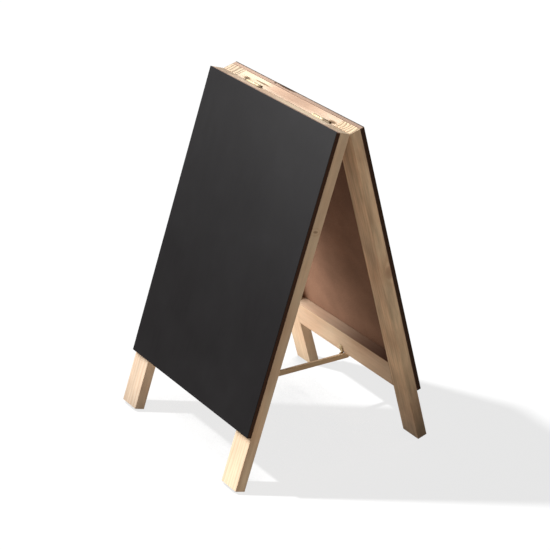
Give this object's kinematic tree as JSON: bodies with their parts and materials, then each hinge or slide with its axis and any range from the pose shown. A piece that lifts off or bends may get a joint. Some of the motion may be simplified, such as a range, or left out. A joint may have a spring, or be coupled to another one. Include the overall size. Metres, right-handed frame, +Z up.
{
  "type": "sandwich board",
  "caption": "Tabletop A-frame chalkboard: hinged pine-framed leaves with black writing panels outside, held open by a folding wooden stay.",
  "frame": {"origin": "bottom centre of the bounding box: on the ground, midway between the feet and the board's sides, straight below the hinge axis", "axes": "+X across the board to the right of someone facing the front, +Y from the front writing face to the rear one, +Z up"},
  "size_m": [0.24, 0.2506, 0.3831],
  "materials": {
    "pine": "unfinished planed softwood, matt",
    "chalkboard": "matt black chalkboard coating on thin hardboard",
    "beech": "plain dowel",
    "stay_wood": "plain strip, slightly darker than the frame",
    "brass": "dulled",
    "steel": "plain wire"
  },
  "bodies": {
    "front_leaf": {"front_panel": "chalkboard", "front_top_rail": "pine", "front_bottom_rail": "pine", "front_stile_left": "pine", "front_stile_right": "pine", "front_dowel_top_left_1": "beech", "front_dowel_top_left_2": "beech", "front_dowel_top_right_1": "beech", "front_dowel_top_right_2": "beech", "front_dowel_bottom_left_1": "beech", "front_dowel_bottom_left_2": "beech", "front_dowel_bottom_right_1": "beech", "front_dowel_bottom_right_2": "beech", "front_hinge_plate_left": "brass", "front_hinge_plate_right": "brass", "hinge_pin_left": "steel", "hinge_pin_right": "steel", "front_hinge_screw_left_1": "brass", "front_hinge_screw_left_2": "brass", "front_hinge_screw_right_1": "brass", "front_hinge_screw_right_2": "brass", "front_stay_bracket": "brass", "front_stay_screw": "brass", "front_stay_pin": "brass"},
    "rear_leaf": {"rear_panel": "chalkboard", "rear_top_rail": "pine", "rear_bottom_rail": "pine", "rear_stile_left": "pine", "rear_stile_right": "pine", "rear_dowel_top_left_1": "beech", "rear_dowel_top_left_2": "beech", "rear_dowel_top_right_1": "beech", "rear_dowel_top_right_2": "beech", "rear_dowel_bottom_left_1": "beech", "rear_dowel_bottom_left_2": "beech", "rear_dowel_bottom_right_1": "beech", "rear_dowel_bottom_right_2": "beech", "rear_hinge_plate_left": "brass", "rear_hinge_plate_right": "brass", "rear_hinge_screw_left_1": "brass", "rear_hinge_screw_left_2": "brass", "rear_hinge_screw_right_1": "brass", "rear_hinge_screw_right_2": "brass", "rear_stay_bracket": "brass", "rear_stay_screw": "brass", "rear_stay_pin": "brass"},
    "front_stay": {"front_stay": "stay_wood", "front_stay_rivet": "brass"},
    "rear_stay": {"rear_stay": "stay_wood", "rear_stay_rivet": "brass"}
  },
  "joints": [
    {"name": "leaf_fold", "type": "hinge", "parent": "front_leaf", "child": "rear_leaf", "pos_m": [0, 0, 0.37822], "axis": [-1, 0, 0], "range_deg": [0, 32]},
    {"name": "front_stay_fold", "type": "hinge", "parent": "front_leaf", "child": "front_stay", "pos_m": [0, -0.09373, 0.05503], "axis": [1, 0, 0], "range_deg": [0, 73.3]},
    {"name": "rear_stay_fold", "type": "hinge", "parent": "rear_leaf", "child": "rear_stay", "pos_m": [0, 0.09373, 0.05503], "axis": [-1, 0, 0], "range_deg": [0, 73.3]}
  ],
  "couplings": [
    {"joint": "front_stay_fold", "follows": "leaf_fold", "ratio": 2.29},
    {"joint": "rear_stay_fold", "follows": "leaf_fold", "ratio": 2.29}
  ]
}
